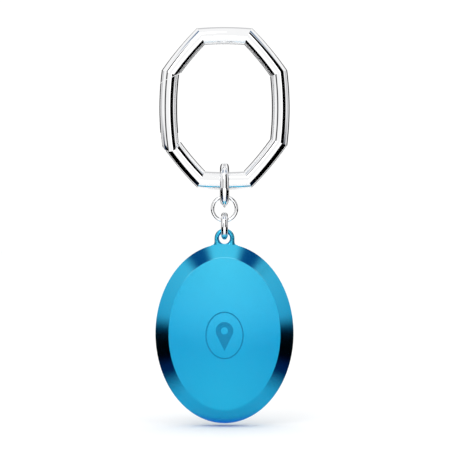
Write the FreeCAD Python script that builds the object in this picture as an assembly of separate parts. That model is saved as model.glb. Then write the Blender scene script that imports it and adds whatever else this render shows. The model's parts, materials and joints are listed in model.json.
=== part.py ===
import FreeCAD, Part
import math
import os

from FreeCAD import Placement, Rotation, Vector

# Tracker tag hanging from a carabiner ring by two links and a small round ring.
# Millimetres. +Z is up, the back of the tag faces -Y, and the origin is where a hook
# bears on the underside of the ring's top bar.

# ------------------------------------------------------------------ carabiner ring
RING_WIDTH = 31.3
RING_HEIGHT = 39.1
TUBE_DIAMETER = 4.3
SIDE_BAR = 16.5            # corner to corner of the upright bars
END_BAR = 11.2             # corner to corner of the top and bottom bars
BOW_RADIUS = 70.0          # every bar bows outward on this radius
SEAM_HEIGHT = 6.85         # where the gate meets the nose, above the ring's middle
SEAM_TILT = 26.0           # the seam rises towards the inside of the ring
SEAM_GAP = 0.12

# ------------------------------------------------------------------ gate mechanism
GATE_OPEN = 30.0           # degrees, inward
HINGE_GAP = 0.1
PIN_DIAMETER = 1.2
PIN_FRONT = -1.6           # the pin goes in from the far side and stops in a blind hole
PIN_REAR = 2.0
PIN_PLAY = 0.05            # all round
PIN_CHAMFER = 0.12
TONGUE_THICKNESS = 1.5
TONGUE_RADIUS = 1.9
TONGUE_WIDTH = 3.2
TONGUE_REACH = 4.5
CAM_FLAT = 1.2             # height of the cam flat over the pivot
SLOT_WIDTH = 1.7
SLOT_HEIGHT = 2.3          # over the pivot
BORE_DIAMETER = 2.5
BORE_FLOOR = 1.15          # over the pivot
BORE_OFFSET = 0.3          # outward of the pivot, towards the middle of the bowed tube
PLUNGER_DIAMETER = 2.36
PLUNGER_BOTTOM = 1.3       # over the pivot
PLUNGER_LENGTH = 2.4
PLUG_BOTTOM = 10.5         # over the pivot
SPRING_DIAMETER = 2.2
SPRING_WIRE = 0.28
SPRING_TURNS = 7

# ------------------------------------------------------------------ links and small ring
CONTACT_GAP = 0.04         # between pieces that hang on one another
UPPER_WIRE = 2.2
UPPER_INNER_WIDTH = 5.0
UPPER_INNER_HEIGHT = 6.56
RING_WIRE = 0.86
SMALL_RING_RADIUS = 3.3    # outside
LOWER_WIRE = 1.65
LOWER_INNER_WIDTH = 2.9
LOWER_INNER_HEIGHT = 3.43

# ------------------------------------------------------------------ tag outline and depth
# Each oval is (half width in X, half height in Z). Depths are positions along Y.
TAG_OVAL = (16.5, 21.4)
FLAT_OVAL = (13.3, 18.1)
BACK_Y = -4.6
SIDE_Y = -2.2
RIM_Y = 1.8
FLOOR_OVAL = (12.6, 17.4)
CAVITY_OVAL = (15.4, 20.3)
FLOOR_Y = -3.6
CAVITY_Y = -1.6
LEDGE_OVAL = (15.9, 20.8)
LEDGE_Y = 1.0

EYELET_HEIGHT = 22.75      # centre of the eyelet over the tag's centre
EYELET_RADIUS = 2.4
EYELET_HOLE = 1.3          # radius
EYELET_THICKNESS = 1.8
NECK_BOTTOM = 19.6
NECK_ROUND = 0.6
NECK_FLARE = 0.8
NECK_FLARE_HEIGHT = 2.3
NECK_FLARE_INSET = 0.3     # from the neck's front and back

EMBLEM_OVAL = (4.4, 5.5)
EMBLEM_HEIGHT = -0.3
EMBLEM_LINE = 0.34
EMBLEM_DEPTH = 0.15
PIN_MARK_RADIUS = 2.1
PIN_MARK_HEIGHT = 1.1
PIN_MARK_TIP = -3.7
PIN_MARK_DOT = 0.85

# ------------------------------------------------------------------ inside the tag
SCREW_PLACES = [(0.0, 16.4), (-6.5, -15.2), (6.5, -15.2)]
BOSS_RADIUS = 1.4
BOSS_HOLE = 0.64
BOSS_HOLE_BOTTOM = -3.35
SCREW_RADIUS = 0.6
SCREW_HEAD_RADIUS = 1.25
SCREW_HEAD_Y = 0.15
SCREW_HEAD_HEIGHT = 0.7
SCREW_TIP_Y = -3.2
SCREW_SLOT = 0.3

BOARD_OVAL = (14.6, 19.4)
BOARD_Y = -1.9
BOARD_THICKNESS = 0.8
TRAY_OVAL = (15.1, 20.0)
TRAY_SCREW_HOLE = 0.8
TRAY_HEAD_HOLE = 1.45

CLIP_PLACE = (11.0, -2.0)
CLIP_SIZE = (1.9, 4.0)
CLIP_METAL = 0.2
CLIP_PLAY = 0.3
TRAY_WINDOWS = [(-4.6, 12.6, 5.0, 3.4), (4.6, 12.6, 5.0, 3.4), (0.0, -16.0, 7.0, 3.0)]

# Chips stand on the back side of the board: (x, z, width, height, thickness).
BLUETOOTH_CHIP = (0.0, 7.4, 5.0, 5.0, 0.9)
MOTION_SENSOR = (-6.4, 7.6, 2.5, 2.0, 0.86)
RADIO_CRYSTAL = (5.4, 9.6, 2.0, 1.6, 0.5)
CLOCK_CRYSTAL = (5.6, 5.6, 1.5, 3.2, 0.75)
CHIP_ANTENNA = (-5.2, 12.8, 6.0, 2.0, 1.1)
POWER_INDUCTOR = (9.0, 3.2, 2.0, 2.0, 1.0)
CAPACITOR_PLACES = [
    (-3.4, 10.7), (-1.6, 10.7), (1.6, 10.7), (3.4, 11.6), (-3.7, 4.3), (-1.6, 3.9), (1.6, 3.9), (8.6, 6.4),
]
RESISTOR_PLACES = [(-9.2, 4.8), (-9.2, 3.4), (-9.2, 9.9), (8.6, 9.4), (3.4, 13.6), (5.6, 13.6)]
CHIP_SIZE = (1.0, 0.5, 0.5)
RESISTOR_THICKNESS = 0.35
PAD_WIDTH = 0.6
PAD_THICKNESS = 0.35

BUZZER_HEIGHT = -6.5
BUZZER_RADIUS = 6.0
BUZZER_CERAMIC = 4.5
BUZZER_GLUE_INNER = 5.0
BUZZER_GLUE = 0.1
BUZZER_BRASS = 0.2
BUZZER_CERAMIC_THICKNESS = 0.2
BUZZER_STRIP = (0.9, 3.0, 0.12)
BRASS_STRIP_X = 5.15

CELL_HEIGHT = -2.0         # centre of the coin cell relative to the tag's centre
CELL_RADIUS = 10.0
CELL_Y = -0.9
CELL_THICKNESS = 3.2
CELL_CAP_RADIUS = 8.85
CELL_SEAL_RADIUS = 9.3
CELL_STEP = 0.2
CELL_RECESS = 0.6
CELL_POCKET = 10.3

GASKET_OVAL = (15.85, 20.75)
GASKET_INNER = (15.0, 19.9)
GASKET_THICKNESS = 0.4
COVER_GAP = 0.05

CARRIER_SKIRT = (15.8, 20.7)
CARRIER_PLATE = (15.2, 20.1)
CARRIER_TOP = 2.45
TAB_PLACES = [(12.0, 8.6), (-12.0, 8.6), (10.3, -12.4), (-10.3, -12.4)]
TAB_SIZE = (0.8, 2.0)
TAB_BOTTOM = 0.0
TAB_PLAY = 0.1

BEZEL_TOP = 3.6
BEZEL_SHOULDER = 2.3
BEZEL_EDGE = (14.9, 19.8)
BEZEL_HOLE = (14.3, 19.2)
CRYSTAL_OVAL = (14.25, 19.15)
CRYSTAL_TABLE = (8.8, 12.4)
CRYSTAL_SKIRT = (16.4, 21.6)
CRYSTAL_BOTTOM = 2.5
CRYSTAL_SKIRT_Y = 3.2
CRYSTAL_TOP = 4.8
CRYSTAL_FACETS = 12

UP = Vector(0, 0, 1)
DEPTH = Vector(0, 1, 0)
ACROSS = Vector(1, 0, 0)
HALF_SPACE_SIZE = 60.0


# ------------------------------------------------------------------ small helpers
def half_space(point, normal):
    """A box so large that it stands for everything beyond a plane."""
    half = HALF_SPACE_SIZE / 2
    block = Part.makeBox(HALF_SPACE_SIZE, HALF_SPACE_SIZE, HALF_SPACE_SIZE, Vector(-half, -half, 0))
    block.Placement = Placement(point, Rotation(UP, normal))
    return block


def cylinder_between(start, end, radius):
    return Part.makeCylinder(radius, (end - start).Length, start, end - start)


def rod_y(x, z, radius, y_low, y_high):
    """A cylinder along the depth direction."""
    return Part.makeCylinder(radius, y_high - y_low, Vector(x, y_low, z), DEPTH)


def block(x, z, width, height, y_low, y_high):
    """A box centred on (x, z) that runs through the given depths."""
    corner = Vector(x - width / 2, y_low, z - height / 2)
    return Part.makeBox(width, y_high - y_low, height, corner)


def oval_wire(oval, y):
    half_x, half_z = oval
    curve = Part.Ellipse(Vector(0, y, half_z), Vector(half_x, y, 0), Vector(0, y, 0))
    return Part.Wire([curve.toShape()])


def oval_plate(oval, y_low, y_high):
    return Part.Face(oval_wire(oval, y_low)).extrude(Vector(0, y_high - y_low, 0))


def oval_taper(first, first_y, second, second_y):
    """A solid with a straight slope between two ovals."""
    return Part.makeLoft([oval_wire(first, first_y), oval_wire(second, second_y)], True, True)


def fuse_all(shapes):
    return shapes[0].multiFuse(shapes[1:]).removeSplitter()


# ------------------------------------------------------------------ carabiner ring
TUBE_RADIUS = TUBE_DIAMETER / 2
RING_MIDDLE = TUBE_DIAMETER - RING_HEIGHT / 2


def bow_depth(length):
    return BOW_RADIUS - math.sqrt(BOW_RADIUS ** 2 - (length / 2) ** 2)


def ring_corners():
    """The eight corners of the tube's centre line, clockwise from the upper left."""
    side_x = RING_WIDTH / 2 - TUBE_RADIUS - bow_depth(SIDE_BAR)
    end_z = RING_HEIGHT / 2 - TUBE_RADIUS - bow_depth(END_BAR)
    side_z = SIDE_BAR / 2
    end_x = END_BAR / 2
    outline = [
        (-side_x, side_z), (-end_x, end_z), (end_x, end_z), (side_x, side_z),
        (side_x, -side_z), (end_x, -end_z), (-end_x, -end_z), (-side_x, -side_z),
    ]
    return [Vector(x, 0, RING_MIDDLE + z) for x, z in outline]


def bow_centre(start, end):
    chord = end - start
    outward = Vector(-chord.z, 0, chord.x).normalize()
    reach = math.sqrt(BOW_RADIUS ** 2 - (chord.Length / 2) ** 2)
    return (start + end) * 0.5 - outward * reach


def bow_tangent(start, end, point):
    """The direction of travel at a point of the bar that runs from start to end."""
    return DEPTH.cross(point - bow_centre(start, end)).normalize()


def bowed_bar(start, end, overrun):
    """A round bar on a shallow arc, longer than its two corners by the overrun."""
    centre = bow_centre(start, end)
    half_angle = math.degrees(math.asin((end - start).Length / 2 / BOW_RADIUS))
    spare = math.degrees(overrun / BOW_RADIUS)
    rim = Part.makeCircle(TUBE_RADIUS, start, bow_tangent(start, end, start))
    section = Part.Face(Part.Wire([rim]))
    section.rotate(centre, DEPTH, -spare)
    return section.revolve(centre, DEPTH, 2 * (half_angle + spare))


def mitre_normal(before, corner, after):
    """The normal of the plane where two bars meet at a corner."""
    incoming = bow_tangent(before, corner, corner)
    outgoing = bow_tangent(corner, after, corner)
    return (incoming + outgoing).normalize()


CORNERS = ring_corners()
HINGE = CORNERS[7]
NOSE_CORNER = CORNERS[0]
OVERRUN = 3.0
SEAM_NORMAL = Vector(-math.sin(math.radians(SEAM_TILT)), 0, math.cos(math.radians(SEAM_TILT)))
SEAM_POINT = Vector(TUBE_RADIUS - RING_WIDTH / 2, 0, RING_MIDDLE + SEAM_HEIGHT)


def gate_clearance():
    """The space that the foot of the gate sweeps as it opens."""
    radius = TUBE_RADIUS + HINGE_GAP
    swept = [Part.makeCylinder(radius, TUBE_DIAMETER, HINGE - DEPTH * TUBE_RADIUS, DEPTH)]
    lean = math.degrees(math.asin(SIDE_BAR / 2 / BOW_RADIUS))
    for angle in (-lean, 0, GATE_OPEN / 2, GATE_OPEN):
        leaning = Part.makeCylinder(radius, 2 * TUBE_DIAMETER, HINGE, UP)
        leaning.rotate(HINGE, DEPTH, angle)
        swept.append(leaning)
    return swept


def hinge_tongue():
    """The flat end of the frame inside the gate's slot, with a cam flat on top."""
    half = TONGUE_THICKNESS / 2
    disc = Part.makeCylinder(TONGUE_RADIUS, TONGUE_THICKNESS, HINGE - DEPTH * half, DEPTH)
    above_flat = half_space(HINGE + UP * CAM_FLAT, UP)
    into_frame = bow_tangent(CORNERS[6], HINGE, HINGE) * -1
    web = Part.makeBox(TONGUE_WIDTH, TONGUE_THICKNESS, TONGUE_REACH, Vector(-TONGUE_WIDTH / 2, -half, 0))
    web.Placement = Placement(HINGE, Rotation(UP, into_frame))
    return disc.cut(above_flat).fuse(web)


def ring_frame():
    nose = bowed_bar(HINGE, NOSE_CORNER, OVERRUN)
    below_seam = half_space(SEAM_POINT + SEAM_NORMAL * (SEAM_GAP / 2), SEAM_NORMAL * -1)
    past_corner = half_space(NOSE_CORNER, mitre_normal(HINGE, NOSE_CORNER, CORNERS[1]))
    bars = [nose.cut([below_seam, past_corner])]
    for index in range(7):
        start, end = CORNERS[index], CORNERS[index + 1]
        before = CORNERS[index - 1]
        bar = bowed_bar(start, end, OVERRUN)
        trims = [half_space(start, mitre_normal(before, start, end) * -1)]
        if start is NOSE_CORNER:
            trims.append(below_seam)
        if end is not HINGE:
            after = CORNERS[index + 2]
            trims.append(half_space(end, mitre_normal(start, end, after)))
        else:
            trims.append(half_space(end, bow_tangent(start, end, end)))
            trims.extend(gate_clearance())
        bars.append(bar.cut(trims))
    bars.append(hinge_tongue())
    frame = fuse_all(bars)
    return frame.cut(rod_y(HINGE.x, HINGE.z, PIN_DIAMETER / 2, PIN_FRONT, PIN_REAR))


def gate_pivot_pin():
    pin = rod_y(HINGE.x, HINGE.z, PIN_DIAMETER / 2, PIN_FRONT, PIN_REAR)
    return pin.makeChamfer(PIN_CHAMFER, [pin.Edges[0], pin.Edges[2]])


def gate_bore(bottom, top, radius):
    return Part.makeCylinder(radius, top - bottom, HINGE + Vector(-BORE_OFFSET, 0, bottom), UP)


def gate_outline():
    """The solid gate: a bowed bar with a rounded foot and a slanted tip."""
    bar = bowed_bar(HINGE, NOSE_CORNER, OVERRUN)
    knuckle = rod_y(HINGE.x, HINGE.z, TUBE_RADIUS, -TUBE_RADIUS, TUBE_RADIUS)
    above_hinge = half_space(HINGE, bow_tangent(HINGE, NOSE_CORNER, HINGE))
    above_seam = half_space(SEAM_POINT - SEAM_NORMAL * (SEAM_GAP / 2), SEAM_NORMAL)
    return bar.common(above_hinge.fuse(knuckle)).cut(above_seam)


def gate_tube():
    slot = block(HINGE.x, HINGE.z, 2 * TUBE_DIAMETER, 2 * SLOT_HEIGHT, -SLOT_WIDTH / 2, SLOT_WIDTH / 2)
    bore = gate_bore(BORE_FLOOR, SIDE_BAR, BORE_DIAMETER / 2)
    pin_hole = rod_y(HINGE.x, HINGE.z, PIN_DIAMETER / 2 + PIN_PLAY, PIN_FRONT - PIN_PLAY, TUBE_RADIUS)
    return gate_outline().cut([slot, bore, pin_hole])


def gate_tip_plug():
    return gate_outline().common(gate_bore(PLUG_BOTTOM, SIDE_BAR, BORE_DIAMETER / 2))


def gate_plunger():
    top = PLUNGER_BOTTOM + PLUNGER_LENGTH
    return gate_bore(PLUNGER_BOTTOM, top, PLUNGER_DIAMETER / 2)


def gate_spring():
    bottom = PLUNGER_BOTTOM + PLUNGER_LENGTH + SPRING_WIRE / 2
    length = PLUG_BOTTOM - bottom - SPRING_WIRE / 2
    radius = (SPRING_DIAMETER - SPRING_WIRE) / 2
    path = Part.Wire(Part.makeHelix(length / SPRING_TURNS, length, radius).Edges)
    rim = Part.makeCircle(SPRING_WIRE / 2, Vector(radius, 0, 0), DEPTH)
    spring = path.makePipeShell([Part.Wire([rim])], True, True)
    return spring.translate(HINGE + Vector(-BORE_OFFSET, 0, bottom))


# ------------------------------------------------------------------ links and small ring
def oval_link(top, inner_width, inner_height, wire):
    """A round-wire link in the YZ plane whose outside reaches up to the given height."""
    radius = wire / 2
    bend = inner_width / 2 + radius
    straight = inner_height - inner_width
    upper = Vector(0, 0, top - radius - bend)
    lower = upper - UP * straight
    pieces = []
    for centre, angle in ((upper, 180), (lower, -180)):
        rim = Part.makeCircle(radius, centre - DEPTH * bend, UP)
        pieces.append(Part.Face(Part.Wire([rim])).revolve(centre, ACROSS * -1, angle))
    for side in (-bend, bend):
        offset = DEPTH * side
        pieces.append(cylinder_between(lower + offset, upper + offset, radius))
    return fuse_all(pieces)


BAR_TOP = TUBE_DIAMETER * 2 - RING_HEIGHT
UPPER_TOP = BAR_TOP + CONTACT_GAP + UPPER_WIRE
UPPER_FLOOR = UPPER_TOP - UPPER_WIRE - UPPER_INNER_HEIGHT
SMALL_RING_Z = UPPER_FLOOR + CONTACT_GAP + RING_WIRE - SMALL_RING_RADIUS
SMALL_RING_FLOOR = SMALL_RING_Z - SMALL_RING_RADIUS + RING_WIRE
LOWER_TOP = SMALL_RING_FLOOR + CONTACT_GAP + LOWER_WIRE
LOWER_FLOOR = LOWER_TOP - LOWER_WIRE - LOWER_INNER_HEIGHT
TAG_Z = LOWER_FLOOR + CONTACT_GAP - EYELET_HOLE - EYELET_HEIGHT


def upper_link():
    return oval_link(UPPER_TOP, UPPER_INNER_WIDTH, UPPER_INNER_HEIGHT, UPPER_WIRE)


def middle_ring():
    radius = SMALL_RING_RADIUS - RING_WIRE / 2
    return Part.makeTorus(radius, RING_WIRE / 2, Vector(0, 0, SMALL_RING_Z), DEPTH)


def lower_link():
    return oval_link(LOWER_TOP, LOWER_INNER_WIDTH, LOWER_INNER_HEIGHT, LOWER_WIRE)


# ------------------------------------------------------------------ back shell
# Everything of the tag is drawn about its own centre and moved down at the end.
def eyelet():
    """A rounded ring with a neck that runs down into the shell's wall."""
    wall = (EYELET_RADIUS - EYELET_HOLE) / 2
    middle = (EYELET_RADIUS + EYELET_HOLE) / 2
    half = EYELET_THICKNESS / 2
    centre = Vector(0, 0, EYELET_HEIGHT)
    section = Part.Ellipse(
        centre + Vector(middle, half, 0), centre + Vector(middle + wall, 0, 0), centre + Vector(middle, 0, 0)
    )
    ring = Part.Face(Part.Wire([section.toShape()])).revolve(centre, DEPTH, 360)
    height = EYELET_HEIGHT - NECK_BOTTOM
    neck = block(0, NECK_BOTTOM + height / 2, 2 * EYELET_RADIUS, height, -half, half)
    upright = [edge for edge in neck.Edges if abs(edge.tangentAt(0).z) > 0.9]
    neck = neck.makeFillet(NECK_ROUND, upright)
    hole = rod_y(0, EYELET_HEIGHT, middle, -half, half)
    return ring.fuse(neck.cut(hole))


def neck_flares():
    """Two small webs that widen the neck where it meets the shell."""
    half = EYELET_THICKNESS / 2 - NECK_FLARE_INSET
    webs = []
    for side in (-1, 1):
        edge_x = side * EYELET_RADIUS
        middle_x = edge_x + side * NECK_FLARE / 2
        middle_z = NECK_BOTTOM + NECK_FLARE_HEIGHT / 2
        web = block(middle_x, middle_z, NECK_FLARE, NECK_FLARE_HEIGHT, -half, half)
        top_z = NECK_BOTTOM + NECK_FLARE_HEIGHT
        round_cut = rod_y(edge_x + side * NECK_FLARE, top_z, NECK_FLARE, -half, half)
        webs.append(web.cut(round_cut))
    return webs


def oval_groove(oval, line, height):
    """A thin closed groove with an oval centre line, cut into the back face."""
    depth = BACK_Y + EMBLEM_DEPTH
    outer = (oval[0] + line / 2, oval[1] + line / 2)
    inner = (oval[0] - line / 2, oval[1] - line / 2)
    groove = oval_plate(outer, BACK_Y - 1, depth).cut(oval_plate(inner, BACK_Y - 1, depth))
    return groove.translate(Vector(0, 0, height))


def place_mark():
    """A drop-shaped map mark, round above and pointed below, with a round dot left standing."""
    centre = Vector(0, 0, EMBLEM_HEIGHT + PIN_MARK_HEIGHT)
    tip = Vector(0, 0, EMBLEM_HEIGHT + PIN_MARK_TIP)
    drop = (centre - tip).Length
    rise = PIN_MARK_RADIUS ** 2 / drop
    spread = PIN_MARK_RADIUS * math.sqrt(1 - (PIN_MARK_RADIUS / drop) ** 2)
    left = centre + Vector(-spread, 0, -rise)
    right = centre + Vector(spread, 0, -rise)
    crown = Part.Arc(left, centre + UP * PIN_MARK_RADIUS, right).toShape()
    outline = Part.Wire([crown, Part.makeLine(right, tip), Part.makeLine(tip, left)])
    outline.translate(Vector(0, BACK_Y - 1, 0))
    drop_shape = Part.Face(outline).extrude(Vector(0, 1 + EMBLEM_DEPTH, 0))
    return drop_shape.cut(rod_y(0, centre.z, PIN_MARK_DOT, BACK_Y - 2, BACK_Y + 1))


def back_shell():
    outer = oval_taper(FLAT_OVAL, BACK_Y, TAG_OVAL, SIDE_Y)
    outer = outer.fuse(oval_plate(TAG_OVAL, SIDE_Y, RIM_Y))
    cavity = [
        oval_taper(FLOOR_OVAL, FLOOR_Y, CAVITY_OVAL, CAVITY_Y),
        oval_plate(CAVITY_OVAL, CAVITY_Y, RIM_Y),
        oval_plate(LEDGE_OVAL, LEDGE_Y, RIM_Y),
    ]
    shell = fuse_all([outer, eyelet()] + neck_flares()).cut(cavity)
    bosses = [rod_y(x, z, BOSS_RADIUS, FLOOR_Y - 0.2, BOARD_Y) for x, z in SCREW_PLACES]
    boss_holes = [rod_y(x, z, BOSS_HOLE, BOSS_HOLE_BOTTOM, BOARD_Y) for x, z in SCREW_PLACES]
    shell = shell.multiFuse(bosses)
    return shell.cut(boss_holes + [oval_groove(EMBLEM_OVAL, EMBLEM_LINE, EMBLEM_HEIGHT), place_mark()])


# ------------------------------------------------------------------ board and tray
def circuit_board():
    board = oval_plate(BOARD_OVAL, BOARD_Y, BOARD_Y + BOARD_THICKNESS)
    holes = [rod_y(x, z, TRAY_SCREW_HOLE, BOARD_Y, BOARD_Y + BOARD_THICKNESS) for x, z in SCREW_PLACES]
    return board.cut(holes)


BOARD_TOP = BOARD_Y + BOARD_THICKNESS


def inner_tray():
    tray = oval_plate(TRAY_OVAL, BOARD_TOP, LEDGE_Y)
    cuts = [rod_y(0, CELL_HEIGHT, CELL_POCKET, BOARD_TOP, LEDGE_Y)]
    for x, z in SCREW_PLACES:
        cuts.append(rod_y(x, z, TRAY_SCREW_HOLE, BOARD_TOP, LEDGE_Y))
        cuts.append(rod_y(x, z, TRAY_HEAD_HOLE, SCREW_HEAD_Y, LEDGE_Y))
    for x, z in TAB_PLACES:
        width, height = TAB_SIZE
        notch = block(x, z, width + 2 * TAB_PLAY, height + 2 * TAB_PLAY, TAB_BOTTOM - TAB_PLAY, LEDGE_Y)
        cuts.append(notch)
    clip_x, clip_z = CLIP_PLACE
    width, height = CLIP_SIZE
    cuts.append(block(clip_x, clip_z, width + 2 * CLIP_PLAY, height + 2 * CLIP_PLAY, BOARD_TOP, LEDGE_Y))
    for x, z, width, height in TRAY_WINDOWS:
        cuts.append(block(x, z, width, height, BOARD_TOP, LEDGE_Y))
    return tray.cut(cuts)


def tray_screws():
    screws = []
    for x, z in SCREW_PLACES:
        shank = rod_y(x, z, SCREW_RADIUS, SCREW_TIP_Y, SCREW_HEAD_Y)
        head = rod_y(x, z, SCREW_HEAD_RADIUS, SCREW_HEAD_Y, SCREW_HEAD_Y + SCREW_HEAD_HEIGHT)
        top = SCREW_HEAD_Y + SCREW_HEAD_HEIGHT
        cross = [
            block(x, z, 2 * SCREW_RADIUS + SCREW_SLOT, SCREW_SLOT, top - SCREW_SLOT, top),
            block(x, z, SCREW_SLOT, 2 * SCREW_RADIUS + SCREW_SLOT, top - SCREW_SLOT, top),
        ]
        screws.append(head.fuse(shank).cut(cross))
    return Part.makeCompound(screws)


def board_chip(chip):
    x, z, width, height, thickness = chip
    return block(x, z, width, height, BOARD_Y - thickness, BOARD_Y)


def chip_antenna():
    """A ceramic block with two solder pads that stand a little proud of its ends."""
    x, z, width, height = CHIP_ANTENNA[:4]
    pieces = [board_chip(CHIP_ANTENNA)]
    for end_x in (x - width / 2, x + width / 2):
        pieces.append(block(end_x, z, PAD_WIDTH, height, BOARD_Y - PAD_THICKNESS, BOARD_Y))
    return fuse_all(pieces)


def power_inductor():
    """A square base with a round wound core on it."""
    x, z, width, height, thickness = POWER_INDUCTOR
    base = block(x, z, width, height, BOARD_Y - PAD_THICKNESS, BOARD_Y)
    core = rod_y(x, z, width * 0.45, BOARD_Y - thickness, BOARD_Y - PAD_THICKNESS)
    return base.fuse(core)


def small_chips(places, thickness):
    width, height = CHIP_SIZE[0], CHIP_SIZE[1]
    return Part.makeCompound([block(x, z, width, height, BOARD_Y - thickness, BOARD_Y) for x, z in places])


# ------------------------------------------------------------------ buzzer


def buzzer_layer(radius, bottom, thickness, hole=0.0):
    layer = rod_y(0, BUZZER_HEIGHT, radius, bottom, bottom + thickness)
    if hole:
        layer = layer.cut(rod_y(0, BUZZER_HEIGHT, hole, bottom, bottom + thickness))
    return layer


BRASS_Y = FLOOR_Y + BUZZER_GLUE
CERAMIC_Y = BRASS_Y + BUZZER_BRASS
CERAMIC_TOP = CERAMIC_Y + BUZZER_CERAMIC_THICKNESS


def leaf_spring(x, z, low_y, high_y):
    """A bent strip: a foot on the board, a slanting leg and a toe on the disc."""
    width, length, metal = BUZZER_STRIP
    start = z - length / 2
    outline = [
        (start, high_y), (start + 1.0, high_y), (start + 2.2, low_y + metal), (start + length, low_y + metal),
        (start + length, low_y), (start + 2.1, low_y), (start + 0.9, high_y - metal), (start, high_y - metal),
    ]
    points = [Vector(x - width / 2, y, along) for along, y in outline]
    face = Part.Face(Part.makePolygon(points + points[:1]))
    return face.extrude(Vector(width, 0, 0))


def buzzer_contacts():
    """One strip presses on the ceramic, the other on the brass beside it."""
    ceramic_strip = leaf_spring(0.0, BUZZER_HEIGHT, CERAMIC_TOP, BOARD_Y)
    brass_strip = leaf_spring(BRASS_STRIP_X, BUZZER_HEIGHT, CERAMIC_Y, BOARD_Y)
    return Part.makeCompound([ceramic_strip, brass_strip])


# ------------------------------------------------------------------ coin cell and contacts
CELL_TOP = CELL_Y + CELL_THICKNESS


def cell_disc(radius, low_y, high_y):
    return rod_y(0, CELL_HEIGHT, radius, low_y, high_y)


def coin_cell_can():
    can = cell_disc(CELL_RADIUS, CELL_Y + CELL_STEP, CELL_TOP)
    rims = [edge for edge in can.Edges if edge.Curve.TypeId == "Part::GeomCircle"]
    can = can.makeFillet(0.4, rims)
    return can.cut(cell_disc(CELL_SEAL_RADIUS, CELL_Y, CELL_Y + CELL_RECESS))


def coin_cell_seal():
    ring = cell_disc(CELL_SEAL_RADIUS, CELL_Y + CELL_STEP / 2, CELL_Y + CELL_RECESS)
    return ring.cut(cell_disc(CELL_CAP_RADIUS, CELL_Y, CELL_Y + CELL_RECESS))


def coin_cell_cap():
    return cell_disc(CELL_CAP_RADIUS, CELL_Y, CELL_Y + CELL_RECESS)


def battery_plus_clip():
    """A foot on the board and a finger that bears on the side of the coin cell."""
    x, z = CLIP_PLACE
    width, height = CLIP_SIZE
    foot = block(x, z, width, height, BOARD_TOP, BOARD_TOP + CLIP_METAL)
    finger_x = CELL_RADIUS + 0.02 + CLIP_METAL / 2
    finger = block(finger_x, z, CLIP_METAL, height - 1.0, BOARD_TOP, LEDGE_Y - 0.1)
    return foot.fuse(finger).removeSplitter()


def battery_minus_leaf():
    """A plate on the board with a raised tongue that reaches up to the coin cell."""
    metal = (CELL_Y - BOARD_TOP) / 2
    plate = block(0, CELL_HEIGHT, 7.0, 5.0, BOARD_TOP, BOARD_TOP + metal)
    tongue = block(0, CELL_HEIGHT, 4.0, 1.6, BOARD_TOP + metal, CELL_Y)
    return plate.fuse(tongue)


def sealing_gasket():
    top = LEDGE_Y + GASKET_THICKNESS
    return oval_plate(GASKET_OVAL, LEDGE_Y, top).cut(oval_plate(GASKET_INNER, LEDGE_Y, top))


# ------------------------------------------------------------------ front cover
COVER_Y = LEDGE_Y + GASKET_THICKNESS
BEZEL_Y = RIM_Y + COVER_GAP


def front_carrier():
    skirt = oval_plate(CARRIER_SKIRT, COVER_Y, BEZEL_Y)
    plate = oval_plate(CARRIER_PLATE, BEZEL_Y, CARRIER_TOP)
    tabs = [block(x, z, TAB_SIZE[0], TAB_SIZE[1], TAB_BOTTOM, COVER_Y) for x, z in TAB_PLACES]
    carrier = fuse_all([skirt, plate] + tabs)
    return carrier.cut(rod_y(0, CELL_HEIGHT, CELL_POCKET, COVER_Y, CARRIER_TOP))


def front_bezel():
    band = oval_plate(TAG_OVAL, BEZEL_Y, BEZEL_SHOULDER)
    slope = oval_taper(TAG_OVAL, BEZEL_SHOULDER, BEZEL_EDGE, BEZEL_TOP)
    bezel = fuse_all([band, slope])
    seat = oval_plate(CARRIER_PLATE, BEZEL_Y, CARRIER_TOP)
    pry_notch = block(0, -TAG_OVAL[1], 5.0, 1.0, BEZEL_Y, BEZEL_Y + 0.4)
    return bezel.cut([seat, oval_plate(BEZEL_HOLE, BEZEL_Y, BEZEL_TOP), pry_notch])


def ring_points(oval, y, shift):
    """Points spaced evenly round an oval, turned by a share of one step."""
    turn = 2 * math.pi / CRYSTAL_FACETS
    angles = [(index + shift) * turn for index in range(CRYSTAL_FACETS)]
    return [Vector(oval[0] * math.sin(angle), y, oval[1] * math.cos(angle)) for angle in angles]


def facet(*points):
    return Part.Face(Part.makePolygon(list(points) + [points[0]]))


def crystal_window():
    """An oval stone with a flat table, a ring of crown facets and a straight girdle."""
    table = ring_points(CRYSTAL_TABLE, CRYSTAL_TOP, 0.0)
    skirt = ring_points(CRYSTAL_SKIRT, CRYSTAL_SKIRT_Y, 0.5)
    base = ring_points(CRYSTAL_SKIRT, CRYSTAL_BOTTOM, 0.5)
    faces = [Part.Face(Part.makePolygon(ring + ring[:1])) for ring in (table, base)]
    for index in range(CRYSTAL_FACETS):
        following = (index + 1) % CRYSTAL_FACETS
        faces.append(facet(table[index], table[following], skirt[index]))
        faces.append(facet(skirt[index], skirt[following], table[following]))
        faces.append(facet(skirt[index], skirt[following], base[following], base[index]))
    stone = Part.makeSolid(Part.makeShell(faces))
    return stone.common(oval_plate(CRYSTAL_OVAL, CRYSTAL_BOTTOM, CRYSTAL_TOP))


def crystal_backing():
    return oval_plate(CRYSTAL_OVAL, CARRIER_TOP, CRYSTAL_BOTTOM)


def battery_foam_pad():
    return rod_y(0, CELL_HEIGHT, 7.0, CELL_TOP + CONTACT_GAP, CARRIER_TOP)


# ------------------------------------------------------------------ export
HANGING_PIECES = {
    "ring_frame": ring_frame,
    "gate_pivot_pin": gate_pivot_pin,
    "gate_tube": gate_tube,
    "gate_tip_plug": gate_tip_plug,
    "gate_plunger": gate_plunger,
    "gate_spring": gate_spring,
    "upper_link": upper_link,
    "middle_ring": middle_ring,
    "lower_link": lower_link,
}

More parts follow.
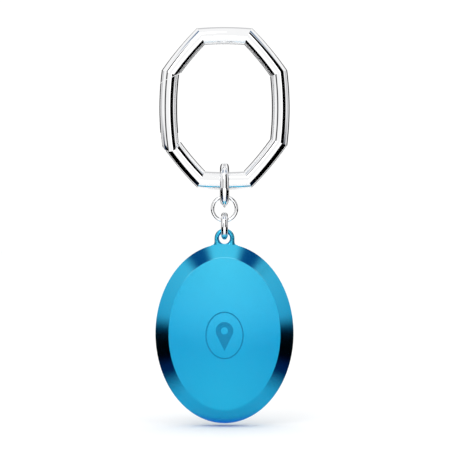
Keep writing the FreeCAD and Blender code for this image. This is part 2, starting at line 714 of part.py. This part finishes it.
TAG_PIECES = {
    "back_shell": back_shell,
    "circuit_board": circuit_board,
    "inner_tray": inner_tray,
    "tray_screws": tray_screws,
    "bluetooth_chip": lambda: board_chip(BLUETOOTH_CHIP),
    "motion_sensor": lambda: board_chip(MOTION_SENSOR),
    "radio_crystal": lambda: board_chip(RADIO_CRYSTAL),
    "clock_crystal": lambda: board_chip(CLOCK_CRYSTAL),
    "chip_antenna": chip_antenna,
    "power_inductor": power_inductor,
    "capacitors": lambda: small_chips(CAPACITOR_PLACES, CHIP_SIZE[2]),
    "resistors": lambda: small_chips(RESISTOR_PLACES, RESISTOR_THICKNESS),
    "buzzer_adhesive_ring": lambda: buzzer_layer(BUZZER_RADIUS, FLOOR_Y, BUZZER_GLUE, BUZZER_GLUE_INNER),
    "buzzer_brass_disc": lambda: buzzer_layer(BUZZER_RADIUS, BRASS_Y, BUZZER_BRASS),
    "buzzer_ceramic_disc": lambda: buzzer_layer(BUZZER_CERAMIC, CERAMIC_Y, BUZZER_CERAMIC_THICKNESS),
    "buzzer_contacts": buzzer_contacts,
    "coin_cell_can": coin_cell_can,
    "coin_cell_seal": coin_cell_seal,
    "coin_cell_cap": coin_cell_cap,
    "battery_plus_clip": battery_plus_clip,
    "battery_minus_leaf": battery_minus_leaf,
    "sealing_gasket": sealing_gasket,
    "front_carrier": front_carrier,
    "front_bezel": front_bezel,
    "crystal_window": crystal_window,
    "crystal_backing": crystal_backing,
    "battery_foam_pad": battery_foam_pad,
}


def save(name, shape):
    shape.exportStep("parts/" + name + ".step")
    box = shape.BoundBox
    print(name, len(shape.Solids), round(shape.Volume, 2), shape.isValid(),
          [round(value, 2) for value in (box.XMin, box.XMax, box.YMin, box.YMax, box.ZMin, box.ZMax)])


os.makedirs("parts", exist_ok=True)
print("tag centre", round(TAG_Z, 3), "hinge", HINGE)
for piece, make in HANGING_PIECES.items():
    save(piece, make())
for piece, make in TAG_PIECES.items():
    save(piece, make().translate(Vector(0, 0, TAG_Z)))
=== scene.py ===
import json
import math

import bmesh
import bpy
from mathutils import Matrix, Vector


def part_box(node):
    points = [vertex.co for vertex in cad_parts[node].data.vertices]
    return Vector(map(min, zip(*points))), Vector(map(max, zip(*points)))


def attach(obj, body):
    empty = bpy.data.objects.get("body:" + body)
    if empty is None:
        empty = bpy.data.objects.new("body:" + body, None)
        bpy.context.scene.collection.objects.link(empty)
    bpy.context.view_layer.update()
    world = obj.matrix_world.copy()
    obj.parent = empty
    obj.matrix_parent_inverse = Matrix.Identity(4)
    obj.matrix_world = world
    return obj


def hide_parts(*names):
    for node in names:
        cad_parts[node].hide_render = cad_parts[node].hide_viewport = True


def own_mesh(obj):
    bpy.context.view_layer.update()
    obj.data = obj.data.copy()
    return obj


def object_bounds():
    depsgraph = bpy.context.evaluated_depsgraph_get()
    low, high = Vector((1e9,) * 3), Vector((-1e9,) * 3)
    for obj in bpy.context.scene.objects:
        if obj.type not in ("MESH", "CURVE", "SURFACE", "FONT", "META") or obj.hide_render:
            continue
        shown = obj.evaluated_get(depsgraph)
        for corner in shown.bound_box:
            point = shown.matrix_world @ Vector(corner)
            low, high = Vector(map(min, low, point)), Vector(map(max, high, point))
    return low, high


# Looks for the tracker tag on its carabiner ring. Metres. The back of the tag faces -Y.
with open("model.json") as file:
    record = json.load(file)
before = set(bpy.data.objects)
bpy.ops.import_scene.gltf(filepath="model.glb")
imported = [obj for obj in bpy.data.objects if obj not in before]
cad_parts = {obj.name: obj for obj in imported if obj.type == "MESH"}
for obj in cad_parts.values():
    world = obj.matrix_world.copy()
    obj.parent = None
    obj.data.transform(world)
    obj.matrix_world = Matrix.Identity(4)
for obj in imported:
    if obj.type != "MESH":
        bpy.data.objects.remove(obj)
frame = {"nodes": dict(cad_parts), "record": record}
CAD_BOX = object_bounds()
MM = 0.001


# ------------------------------------------------------------------ material helpers
# Places of the colour sockets on a mix node.
MIX_COLORS = (6, 7)
MIX_RESULT = 2


class Surface:
    """A material whose finish is built from small procedural steps.

    The plain colour and roughness are what it has where no step overrides them.
    """

    def __init__(self, name, color, metallic=0.0, roughness=0.4):
        self.material = bpy.data.materials.new(name)
        self.material.use_nodes = True
        self.tree = self.material.node_tree
        self.shader = self.tree.nodes["Principled BSDF"]
        self.set(Metallic=metallic, Roughness=roughness)
        self.shader.inputs["Base Color"].default_value = (*color, 1.0)
        self.position = self.tree.nodes.new("ShaderNodeTexCoord").outputs["Object"]

    def set(self, **values):
        for name, value in values.items():
            self.shader.inputs[name.replace("_", " ")].default_value = value

    def link(self, output, target):
        self.tree.links.new(output, target)

    def stretched(self, scale):
        """Object coordinates stretched along the axes, in repeats per metre."""
        mapping = self.tree.nodes.new("ShaderNodeMapping")
        mapping.inputs["Scale"].default_value = scale
        self.link(self.position, mapping.inputs["Vector"])
        return mapping.outputs["Vector"]

    def noise(self, scale, detail=3.0, coordinates=None):
        """Noise with about scale features per metre, or along stretched coordinates."""
        node = self.tree.nodes.new("ShaderNodeTexNoise")
        node.inputs["Scale"].default_value = scale
        node.inputs["Detail"].default_value = detail
        self.link(coordinates or self.position, node.inputs["Vector"])
        return node.outputs["Fac"]

    def spread(self, factor, low, high, start=0.3, end=0.7):
        """Maps a value onto a range. Noise lies mostly between the default ends."""
        node = self.tree.nodes.new("ShaderNodeMapRange")
        node.inputs["From Min"].default_value = start
        node.inputs["From Max"].default_value = end
        node.inputs["To Min"].default_value = low
        node.inputs["To Max"].default_value = high
        self.link(factor, node.inputs["Value"])
        return node.outputs["Result"]

    def near(self, point, reach):
        """1 inside the first reach of a point, falling evenly to 0 at the second."""
        distance = self.tree.nodes.new("ShaderNodeVectorMath")
        distance.operation = "DISTANCE"
        self.link(self.position, distance.inputs[0])
        distance.inputs[1].default_value = point
        return self.spread(distance.outputs["Value"], 1.0, 0.0, *reach)

    def product(self, first, second):
        node = self.tree.nodes.new("ShaderNodeMath")
        node.operation = "MULTIPLY"
        self.link(first, node.inputs[0])
        self.link(second, node.inputs[1])
        return node.outputs["Value"]

    def blend(self, factor, first, second):
        """A colour between two, picked by the factor."""
        node = self.tree.nodes.new("ShaderNodeMix")
        node.data_type = "RGBA"
        self.link(factor, node.inputs["Factor"])
        for socket, color in zip(MIX_COLORS, (first, second)):
            if isinstance(color, tuple):
                node.inputs[socket].default_value = (*color, 1.0)
            else:
                self.link(color, node.inputs[socket])
        return node.outputs[MIX_RESULT]

    def bump(self, height, distance, target="Normal"):
        """Relief of the given depth in metres."""
        node = self.tree.nodes.new("ShaderNodeBump")
        node.inputs["Distance"].default_value = distance
        self.link(height, node.inputs["Height"])
        self.link(node.outputs["Normal"], self.shader.inputs[target])

    def roughen(self, factor, low, high):
        self.link(self.spread(factor, low, high), self.shader.inputs["Roughness"])

    def tint(self, color_output):
        self.link(color_output, self.shader.inputs["Base Color"])


# ------------------------------------------------------------------ materials
def polished_chrome():
    """Bright plating with faint wipe marks and hairline scratches."""
    surface = Surface("polished_chrome", (0.9, 0.9, 0.91), metallic=1.0)
    wipes = surface.noise(260.0, detail=5.0)
    surface.roughen(wipes, 0.02, 0.05)
    surface.tint(surface.blend(wipes, (0.93, 0.93, 0.935), (0.87, 0.875, 0.885)))
    along_bars = surface.stretched((9000.0, 9000.0, 700.0))
    surface.bump(surface.noise(1.0, detail=2.0, coordinates=along_bars), 0.0002 * MM)
    return surface


GRAIN_DEPTH = 0.002 * MM


def brushed(name, color, roughness, stretch):
    """Metal with a fine grain that runs along the axis with the fewest repeats."""
    surface = Surface(name, color, metallic=1.0, roughness=roughness)
    grain = surface.noise(1.0, detail=4.0, coordinates=surface.stretched(stretch))
    stains = surface.noise(420.0, detail=5.0)
    dark = tuple(value * 0.8 for value in color)
    surface.tint(surface.blend(surface.spread(stains, 0.0, 1.0), color, dark))
    surface.roughen(grain, roughness * 0.75, roughness * 1.35)
    surface.bump(grain, GRAIN_DEPTH)
    return surface


CRYSTAL_LOW, CRYSTAL_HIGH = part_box("crystal_window")
CRYSTAL_HALF_X = (CRYSTAL_HIGH[0] - CRYSTAL_LOW[0]) / 2
CRYSTAL_HALF_Z = (CRYSTAL_HIGH[2] - CRYSTAL_LOW[2]) / 2
TAG_MIDDLE = (CRYSTAL_LOW[2] + CRYSTAL_HIGH[2]) / 2
BACK_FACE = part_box("back_shell")[0][1]
EMBLEM_MIDDLE = TAG_MIDDLE - 0.3 * MM
EMBLEM_REACH = 6.2 * MM
EMBLEM_EDGE = 0.1 * MM
UPPER_AREA = TAG_MIDDLE + 19.26 * MM
LOWER_AREA = TAG_MIDDLE - 16.74 * MM
# Height, full and outer reach, and colour of the painted highlights on the back: paler patches painted
# where light falls on it.
PAINTED_HIGHLIGHT_PATCHES = [
    (LOWER_AREA, (2.0 * MM, 17.0 * MM), (0.01, 0.37, 0.62)),
    (UPPER_AREA, (2.0 * MM, 24.0 * MM), (0.045, 0.52, 0.78)),
]
# Depths between which the paint counts as engraved, and as the painted highlight along the upper edge of
# the flat back.
ENGRAVED_DEPTHS = (0.03 * MM, 0.1 * MM)
HIGHLIGHT_DEPTHS = (0.04 * MM, 0.08 * MM, 0.2 * MM)
HIGHLIGHT_STRENGTH = 0.6
HIGHLIGHT_REACH = (8.0 * MM, 13.0 * MM)


def under_back_face(surface, values, depths):
    """Maps how deep a point lies under the flat back onto a range of values."""
    split = surface.tree.nodes.new("ShaderNodeSeparateXYZ")
    surface.link(surface.position, split.inputs["Vector"])
    start, end = (BACK_FACE + depth for depth in depths)
    return surface.spread(split.outputs["Y"], *values, start, end)


def engraved(surface):
    """1 on the sunken floor of the engraved emblem, 0 everywhere else on the back."""
    sunken = under_back_face(surface, (0.0, 1.0), ENGRAVED_DEPTHS)
    middle = (0.0, BACK_FACE, EMBLEM_MIDDLE)
    return surface.product(sunken, surface.near(middle, (EMBLEM_REACH, EMBLEM_REACH + EMBLEM_EDGE)))


def painted_crease_highlight(surface):
    """Painted highlight: above 0 along the upper edge of the flat back, where a thin pale line of light
    is painted.
    """
    first, full, last = HIGHLIGHT_DEPTHS
    fades_in = under_back_face(surface, (0.0, 1.0), (0.0, first))
    fades_out = under_back_face(surface, (HIGHLIGHT_STRENGTH, 0.0), (full, last))
    upper = surface.near((0.0, BACK_FACE, UPPER_AREA), HIGHLIGHT_REACH)
    return surface.product(surface.product(fades_in, fades_out), upper)


def blue_metal():
    """Anodised blue with painted highlights, paler towards the eyelet, low on the back and along the
    upper crease, under a gloss coat with a trace of orange peel.
    """
    surface = Surface("blue_metal", (0.004, 0.3, 0.56), metallic=1.0)
    clouds = surface.noise(60.0, detail=2.0)
    cloudy = surface.spread(clouds, 0.0, 1.0)
    anodised_with_painted_light = surface.blend(cloudy, (0.005, 0.305, 0.56), (0.003, 0.29, 0.54))
    # Painted highlights: paler patches low on the back and towards the eyelet, painted where light falls.
    for height, reach, color in PAINTED_HIGHLIGHT_PATCHES:
        painted_highlight = surface.near((0.0, BACK_FACE, height), reach)
        anodised_with_painted_light = surface.blend(painted_highlight, anodised_with_painted_light, color)
    # Painted highlight: a thin pale line along the upper crease of the flat back.
    anodised_with_painted_light = surface.blend(painted_crease_highlight(surface), anodised_with_painted_light, (0.2, 0.75, 0.97))
    surface.tint(surface.blend(engraved(surface), anodised_with_painted_light, (0.002, 0.2, 0.39)))
    sparkle = surface.noise(9000.0, detail=2.0)
    surface.roughen(sparkle, 0.1, 0.17)
    surface.bump(sparkle, 0.0004 * MM)
    surface.set(Coat_Weight=0.25, Coat_Roughness=0.03, Coat_IOR=1.5)
    peel = surface.noise(700.0, detail=1.0)
    surface.bump(peel, 0.0008 * MM, target="Coat Normal")
    return surface


# Direction that the painted facet shading treats as the light, and how far the facets must turn from it
# to go from dark to light.
FACET_LIGHT = (0.6, 0.0, 0.8)
FACET_TILT = 0.2


def blue_crystal():
    """Foil-backed cut stone under a clear polish, each facet painted lighter or darker by how it faces a
    fixed light direction: painted shading.
    """
    surface = Surface("blue_crystal", (0.02, 0.42, 0.75), metallic=0.9, roughness=0.04)
    facing = surface.tree.nodes.new("ShaderNodeVectorMath")
    facing.operation = "DOT_PRODUCT"
    surface.link(surface.position.node.outputs["Normal"], facing.inputs[0])
    facing.inputs[1].default_value = FACET_LIGHT
    # Painted shading: facets facing FACET_LIGHT are painted paler, those turned away are painted darker.
    painted_facet_shade = surface.spread(facing.outputs["Value"], 0.0, 1.0, -FACET_TILT, FACET_TILT)
    surface.tint(surface.blend(painted_facet_shade, (0.008, 0.25, 0.52), (0.07, 0.56, 0.88)))
    surface.roughen(surface.noise(600.0), 0.02, 0.06)
    surface.set(Coat_Weight=1.0, Coat_Roughness=0.0, Coat_IOR=1.56)
    return surface


def backing_film():
    """Mirror foil behind the crystal, with a fine emboss."""
    surface = Surface("backing_film", (0.05, 0.42, 0.72), metallic=1.0)
    emboss = surface.noise(2600.0, detail=2.0)
    surface.roughen(emboss, 0.08, 0.25)
    surface.tint(surface.blend(emboss, (0.04, 0.36, 0.68), (0.1, 0.55, 0.85)))
    surface.bump(emboss, 0.01 * MM)
    return surface


def molded(name, color, roughness, grain_scale, depth):
    """Moulded plastic, rubber or foam with a grain and slight colour drift."""
    surface = Surface(name, color, roughness=roughness)
    grain = surface.noise(grain_scale, detail=4.0)
    drift = surface.noise(150.0, detail=3.0)
    lighter = tuple(min(1.0, value * 1.35 + 0.004) for value in color)
    surface.tint(surface.blend(surface.spread(drift, 0.0, 1.0), color, lighter))
    surface.roughen(grain, roughness * 0.85, min(1.0, roughness * 1.15))
    surface.bump(grain, depth)
    return surface


def board_green():
    """Solder mask over copper tracks, laid out as a fine rectangular maze."""
    surface = Surface("board_green", (0.01, 0.12, 0.06), roughness=0.3)
    brick = surface.tree.nodes.new("ShaderNodeTexBrick")
    swing = surface.tree.nodes.new("ShaderNodeMapping")
    swing.inputs["Rotation"].default_value = (math.pi / 2, 0.0, 0.0)
    surface.link(surface.position, swing.inputs["Vector"])
    surface.link(swing.outputs["Vector"], brick.inputs["Vector"])
    brick.inputs["Scale"].default_value = 420.0
    brick.inputs["Mortar Size"].default_value = 0.012
    brick.inputs["Color1"].default_value = (0.008, 0.10, 0.05, 1.0)
    brick.inputs["Color2"].default_value = (0.012, 0.13, 0.065, 1.0)
    brick.inputs["Mortar"].default_value = (0.03, 0.24, 0.12, 1.0)
    surface.tint(brick.outputs["Color"])
    surface.bump(brick.outputs["Fac"], 0.02 * MM)
    surface.roughen(surface.noise(3000.0), 0.22, 0.36)
    surface.set(Coat_Weight=0.4, Coat_Roughness=0.1)
    return surface


MATERIALS = {
    "polished_chrome": polished_chrome,
    "pin_steel": lambda: brushed("pin_steel", (0.62, 0.63, 0.65), 0.22, (2500.0, 300.0, 2500.0)),
    "spring_steel": lambda: brushed("spring_steel", (0.5, 0.51, 0.53), 0.3, (1500.0, 1500.0, 1500.0)),
    "cell_steel": lambda: brushed("cell_steel", (0.68, 0.68, 0.67), 0.28, (350.0, 4000.0, 4000.0)),
    "contact_brass": lambda: brushed("contact_brass", (0.8, 0.6, 0.27), 0.25, (3000.0, 3000.0, 400.0)),
    "blue_metal": blue_metal,
    "blue_crystal": blue_crystal,
    "backing_film": backing_film,
    "board_green": board_green,
    "black_plastic": lambda: molded("black_plastic", (0.022, 0.022, 0.025), 0.5, 4500.0, 0.006 * MM),
    "chip_black": lambda: molded("chip_black", (0.018, 0.018, 0.02), 0.55, 9000.0, 0.003 * MM),
    "ceramic_white": lambda: molded("ceramic_white", (0.78, 0.77, 0.72), 0.32, 6000.0, 0.002 * MM),
    "ceramic_tan": lambda: molded("ceramic_tan", (0.42, 0.31, 0.21), 0.42, 6000.0, 0.002 * MM),
    "gasket_rubber": lambda: molded("gasket_rubber", (0.03, 0.03, 0.033), 0.7, 3000.0, 0.008 * MM),
    "foam_black": lambda: molded("foam_black", (0.045, 0.045, 0.05), 0.95, 3500.0, 0.05 * MM),
}


def dress_nodes():
    """Every CAD node gets the finish of its material slot."""
    built = {}
    for part in frame["record"]["subparts"]:
        slot = part["material_slot"]
        if slot not in built:
            built[slot] = MATERIALS[slot]().material
        node = frame["nodes"][part["node"]]
        node.data.materials.clear()
        node.data.materials.append(built[slot])


# ------------------------------------------------------------------ pieces in place of CAD nodes
# Width and height of the pyramids, fall of the dome to its rim, and rows each way.
CUT_PITCH = 3.6 * MM
CUT_DEPTH = 0.3 * MM
CROWN_DROP = 1.05 * MM
CUT_ROWS = 8
GIRDLE_SIDES = 96


def show_instead(name, mesh, node, body):
    """A visible piece that stands for a CAD node, with its finish and on its body."""
    piece = bpy.data.objects.new(name, mesh)
    bpy.context.collection.objects.link(piece)
    mesh.materials.clear()
    mesh.materials.append(frame["nodes"][node].data.materials[0])
    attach(piece, body)
    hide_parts(node)
    return piece


def dome_point(first, second, dip):
    """A point some steps along both diagonals, and this far under the crystal's dome."""
    x = (first + second) * CUT_PITCH / math.sqrt(2.0)
    z = (first - second) * CUT_PITCH / math.sqrt(2.0)
    drop = CROWN_DROP * ((x / CRYSTAL_HALF_X) ** 2 + (z / CRYSTAL_HALF_Z) ** 2)
    return (x, CRYSTAL_HIGH[1] - drop - dip, TAG_MIDDLE + z)


def add_pyramids(stone):
    """A square field of low pyramids, larger than the crystal."""
    steps = range(-CUT_ROWS, CUT_ROWS + 1)
    corners = {}
    for first in steps:
        for second in steps:
            corners[first, second] = stone.verts.new(dome_point(first, second, CUT_DEPTH))
    for first in steps[:-1]:
        for second in steps[:-1]:
            peak = stone.verts.new(dome_point(first + 0.5, second + 0.5, 0.0))
            loop = [(first, second), (first + 1, second), (first + 1, second + 1), (first, second + 1)]
            for start, end in zip(loop, loop[1:] + loop[:1]):
                stone.faces.new((corners[start], corners[end], peak))


def trim_to_oval(stone):
    """Cuts off what lies outside the crystal's oval, side by side."""
    for side in range(GIRDLE_SIDES):
        angle = 2 * math.pi * side / GIRDLE_SIDES
        across, along = math.sin(angle), math.cos(angle)
        everything = stone.verts[:] + stone.edges[:] + stone.faces[:]
        point = (CRYSTAL_HALF_X * across, 0.0, TAG_MIDDLE + CRYSTAL_HALF_Z * along)
        outward = (across / CRYSTAL_HALF_X, 0.0, along / CRYSTAL_HALF_Z)
        bmesh.ops.bisect_plane(stone, geom=everything, plane_co=point, plane_no=outward, clear_outer=True)


def open_edges(stone):
    return [edge for edge in stone.edges if edge.is_boundary]


def ordered_mesh(name, stone):
    """A mesh with sorted points and faces, because cutting leaves them in a new order each run."""
    points = sorted(vert.co[:] for vert in stone.verts)
    places = {point: place for place, point in enumerate(points)}
    loops = []
    for face in stone.faces:
        loop = [places[vert.co[:]] for vert in face.verts]
        first = loop.index(min(loop))
        loops.append(loop[first:] + loop[:first])
    mesh = bpy.data.meshes.new(name)
    mesh.from_pydata(points, [], sorted(loops))
    return mesh


def crystal_window():
    """The stone with rows of low pyramids on its domed top, a straight girdle and a flat base."""
    stone = bmesh.new()
    add_pyramids(stone)
    trim_to_oval(stone)
    for item in bmesh.ops.extrude_edge_only(stone, edges=open_edges(stone))["geom"]:
        if isinstance(item, bmesh.types.BMVert):
            item.co.y = CRYSTAL_LOW[1]
    bmesh.ops.contextual_create(stone, geom=open_edges(stone))
    bmesh.ops.recalc_face_normals(stone, faces=stone.faces[:])
    mesh = ordered_mesh("cut_crystal", stone)
    stone.free()
    show_instead("cut_crystal", mesh, "crystal_window", "cover")


def gate_spring():
    """The coil spring, shown as an unchanging copy of its CAD mesh on the gate's body; the real spring
    shortens towards its upper end as the gate lifts the plunger.
    """
    mesh = frame["nodes"]["gate_spring"].data.copy()
    spring = show_instead("coil_spring", mesh, "gate_spring", "gate")
    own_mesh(spring)


# ------------------------------------------------------------------ studio
FLOOR_GAP = 0.9 * MM
FLOOR_Z = CAD_BOX[0][2] - FLOOR_GAP
FLOOR_SIZE = 6.0
FLOOR_WHITE = (0.975, 0.975, 0.975)
WORLD_LIGHT = 1.03
# Name, azimuth, height, distance, size and power of each softbox.
SOFTBOXES = [
    ("key", -20.0, 0.45, 0.8, 0.5, 1.6),
    ("fill", 35.0, 0.25, 0.9, 0.6, 1.2),
]
CARD_DISTANCE = 0.6
CARD_FOOT = FLOOR_Z - 0.25
BLACK = (0.0, 0.0, 0.0)
NAVY = (0.0, 0.035, 0.12)
DEEP_NAVY = (0.0, 0.015, 0.05)
HAZE = (0.62, 0.62, 0.63)
INDIGO = (0.4, 0.3, 0.9)
STEEL_BLUE = (0.0, 0.1, 0.26)
# Name, azimuth, elevation, size, colour and edge fade of each raised card.
RAISED_CARDS = [
    ("left_upper", -61.5, 54.5, 0.34, STEEL_BLUE, (0.12, 0.12)),
    ("right_upper", 61.5, 54.5, 0.34, STEEL_BLUE, (0.12, 0.12)),
    ("back_upper", 180.0, 62.0, 0.5, HAZE, (0.15, 0.2)),
]
# Name, start and end of the fade, first and last azimuth, and colour of each pair of floor wings: dark
# sheets of painted shade that stand in for shaded floor to each side and show only in reflections.
FLOOR_SHADE_WINGS = [
    ("near_wings", 0.013, 0.045, (41.0, 117.0), NAVY),
    ("far_wings", 0.045, 0.075, (41.0, 117.0), BLACK),
    ("back_wings", 0.02, 0.04, (124.0, 144.0), BLACK),
]
WING_SPAN = 1.8
WING_FADE = 0.008
# Name, middle in Y, size, colour and edge fade of each card on the floor.
FLOOR_CARDS = [
    ("bar_card", 0.1, (0.018, 0.06), BLACK, (0.004, 0.01)),
    # The rim card glows indigo under the front rim and stands in for the shaded floor there as the rim
    # reflects it: painted reflection of shade.
    ("rim_shade_card", -0.0009, (0.036, 0.0058), INDIGO, (0.018, 0.002)),
]
CARD_STEP = 0.15 * MM
# Name, azimuth, highest point, width, colour and edge fade of each standing card.
UPRIGHT_CARDS = [
    ("right_card", 44.5, 0.5, 0.54, BLACK, (0.055, 0.05)),
    ("left_card", -39.0, 0.4, 0.3, BLACK, (0.12, 0.05)),
    ("left_haze", -100.0, 0.4, 0.44, HAZE, (0.18, 0.1)),
    ("right_haze", 95.0, 0.4, 0.5, HAZE, (0.2, 0.1)),
    ("left_edge", -142.0, 0.4, 0.54, BLACK, (0.05, 0.1)),
    ("right_edge", 142.0, 0.4, 0.54, BLACK, (0.05, 0.1)),
    ("left_horizon", -82.0, 0.012, 0.36, DEEP_NAVY, (0.05, 0.1)),
    ("right_horizon", 82.0, 0.012, 0.36, DEEP_NAVY, (0.05, 0.1)),
]
PICTURE_WIDTH = 107.8 * MM
PICTURE_MIDDLE = -43.2 * MM
LENS = 150.0
SENSOR = 36.0


def backdrop_paper():
    """Matt white paper with a fine tooth, which reflects nothing."""
    surface = Surface("studio_white", FLOOR_WHITE, roughness=0.9)
    surface.bump(surface.noise(900.0, detail=4.0), 0.01 * MM)
    surface.set(Specular_IOR_Level=0.0)
    return surface.material


def plane(name, center, width, height, facing, material):
    """A rectangle of which the front side faces the given direction."""
    bpy.ops.mesh.primitive_plane_add(size=1.0, location=center)
    sheet = bpy.context.object
    sheet.name = name
    sheet.scale = (width, height, 1.0)
    sheet.rotation_euler = Vector(facing).to_track_quat("Z", "Y").to_euler()
    sheet.data.materials.append(material)
    return sheet


def around(azimuth, height, distance):
    """A point round the object: azimuth 0 is towards the camera, 90 is to its right."""
    angle = math.radians(azimuth)
    return Vector((math.sin(angle) * distance, -math.cos(angle) * distance, height))


def softbox(name, azimuth, height, distance, size, power):
    """A square area light that looks at the middle of the picture."""
    data = bpy.data.lights.new(name, "AREA")
    data.size = size
    data.energy = power
    light = bpy.data.objects.new(name, data)
    light.location = around(azimuth, height, distance)
    direction = Vector((0.0, 0.0, PICTURE_MIDDLE)) - light.location
    light.rotation_euler = direction.to_track_quat("-Z", "Y").to_euler()
    bpy.context.collection.objects.link(light)


def calculate(tree, operation, first, second):
    """A math node on two values, each a number or the output of another node."""
    node = tree.nodes.new("ShaderNodeMath")
    node.operation = operation
    for socket, value in zip(node.inputs, (first, second)):
        if isinstance(value, float):
            socket.default_value = value
        else:
            tree.links.new(value, socket)
    return node.outputs["Value"]


def rise(tree, value, start, end):
    """0 below the start, 1 above the end and a soft step between."""
    node = tree.nodes.new("ShaderNodeMapRange")
    node.interpolation_type = "SMOOTHSTEP"
    node.inputs["From Min"].default_value = start
    node.inputs["From Max"].default_value = end
    tree.links.new(value, node.inputs["Value"])
    return node.outputs["Result"]


def card(name, center, size, facing, color, shape):
    """A plain card that only shows in reflections.

    Shape gets the places across and along the card, in metres from its middle, and returns how
    solid the card is there.
    """
    material = bpy.data.materials.new(name)
    material.use_nodes = True
    tree = material.node_tree
    tree.nodes.clear()
    split = tree.nodes.new("ShaderNodeSeparateXYZ")
    tree.links.new(tree.nodes.new("ShaderNodeTexCoord").outputs["Generated"], split.inputs["Vector"])
    places = []
    for axis, length in zip("XY", size):
        centered = calculate(tree, "SUBTRACT", split.outputs[axis], 0.5)
        places.append(calculate(tree, "MULTIPLY", centered, float(length)))
    glow = tree.nodes.new("ShaderNodeEmission")
    glow.inputs["Color"].default_value = (*color, 1.0)
    mix = tree.nodes.new("ShaderNodeMixShader")
    tree.links.new(shape(tree, *places), mix.inputs["Fac"])
    tree.links.new(tree.nodes.new("ShaderNodeBsdfTransparent").outputs["BSDF"], mix.inputs[1])
    tree.links.new(glow.outputs["Emission"], mix.inputs[2])
    output = tree.nodes.new("ShaderNodeOutputMaterial")
    tree.links.new(mix.outputs["Shader"], output.inputs["Surface"])
    sheet = plane(name, center, size[0], size[1], facing, material)
    sheet.visible_camera = False
    sheet.visible_shadow = False
    sheet.visible_diffuse = False
    sheet.visible_transmission = False


def soft_card(name, center, size, facing, color, fade):
    """A card whose edges fade out over the given widths."""
    def shape(tree, across, along):
        covers = []
        for place, length, width in zip((across, along), size, fade):
            inward = calculate(tree, "SUBTRACT", length / 2, calculate(tree, "ABSOLUTE", place, 0.0))
            covers.append(rise(tree, inward, 0.0, width))
        return calculate(tree, "MULTIPLY", *covers)

    card(name, center, size, facing, color, shape)


def upright_card(name, azimuth, top, width, color, fade):
    """A card that stands round the object, faces it and starts well under the floor."""
    center = around(azimuth, (CARD_FOOT + top) / 2, CARD_DISTANCE)
    soft_card(name, center, (width, top - CARD_FOOT), (-center.x, -center.y, 0.0), color, fade)


def raised_card(name, azimuth, elevation, size, color, fade):
    """A card above the object, which it faces."""
    angle = math.radians(elevation)
    height = PICTURE_MIDDLE + math.sin(angle) * CARD_DISTANCE
    center = around(azimuth, height, math.cos(angle) * CARD_DISTANCE)
    facing = Vector((0.0, 0.0, PICTURE_MIDDLE)) - center
    soft_card(name, center, (size, size), facing, color, fade)


def floor_shade_wings(name, start, end, azimuths, color, lift):
    """Two wedges of painted shade on the floor, one to each side, that stand in for shaded floor in
    reflections and leave the front and the back pale.

    They fade in between the start and end distances and span the given azimuths.
    """
    first, last = (math.radians(azimuth) for azimuth in azimuths)

    def turned(tree, sideways, forward, angle):
        """Distance from the line through the middle at this azimuth."""
        side_share = calculate(tree, "MULTIPLY", sideways, math.cos(angle))
        forward_share = calculate(tree, "MULTIPLY", forward, math.sin(angle))
        return calculate(tree, "SUBTRACT", side_share, forward_share)

    def shape(tree, across, forward):
        sideways = calculate(tree, "ABSOLUTE", across, 0.0)
        past_first = rise(tree, turned(tree, sideways, forward, first), 0.0, WING_FADE)
        past_last = rise(tree, turned(tree, sideways, forward, last), -WING_FADE, 0.0)
        sector = calculate(tree, "SUBTRACT", past_first, past_last)
        return calculate(tree, "MULTIPLY", sector, rise(tree, sideways, start, end))

    center = (0.0, 0.0, FLOOR_Z + lift)
    card(name, center, (WING_SPAN, WING_SPAN), (0.0, 0.0, 1.0), color, shape)


def build_studio():
    world = bpy.data.worlds.new("studio")
    bpy.context.scene.world = world
    world.use_nodes = True
    world.node_tree.nodes["Background"].inputs["Color"].default_value = (1.0, 1.0, 1.0, 1.0)
    world.node_tree.nodes["Background"].inputs["Strength"].default_value = WORLD_LIGHT
    plane("floor", (0.0, 0.0, FLOOR_Z), FLOOR_SIZE, FLOOR_SIZE, (0.0, 0.0, 1.0), backdrop_paper())
    for name, azimuth, top, width, color, fade in UPRIGHT_CARDS:
        upright_card(name, azimuth, top, width, color, fade)
    for settings in RAISED_CARDS:
        raised_card(*settings)
    # Dark wings on the floor: painted shade that shows only in reflections.
    for lift, wings in enumerate(FLOOR_SHADE_WINGS, 1):
        floor_shade_wings(*wings, lift * CARD_STEP)
    for lift, (name, center_y, size, color, fade) in enumerate(FLOOR_CARDS, len(FLOOR_SHADE_WINGS) + 1):
        center = (0.0, center_y, FLOOR_Z + lift * CARD_STEP)
        soft_card(name, center, size, (0.0, 0.0, 1.0), color, fade)
    for settings in SOFTBOXES:
        softbox(*settings)


def build_camera():
    data = bpy.data.cameras.new("camera")
    data.lens = LENS
    data.sensor_width = SENSOR
    data.clip_start = 0.01
    camera = bpy.data.objects.new("camera", data)
    distance = PICTURE_WIDTH * LENS / SENSOR
    camera.location = (0.0, -distance, PICTURE_MIDDLE)
    camera.rotation_euler = (math.pi / 2, 0.0, 0.0)
    bpy.context.collection.objects.link(camera)
    bpy.context.scene.camera = camera


dress_nodes()
crystal_window()
gate_spring()
build_studio()
build_camera()
bpy.context.scene.view_settings.view_transform = "Standard"
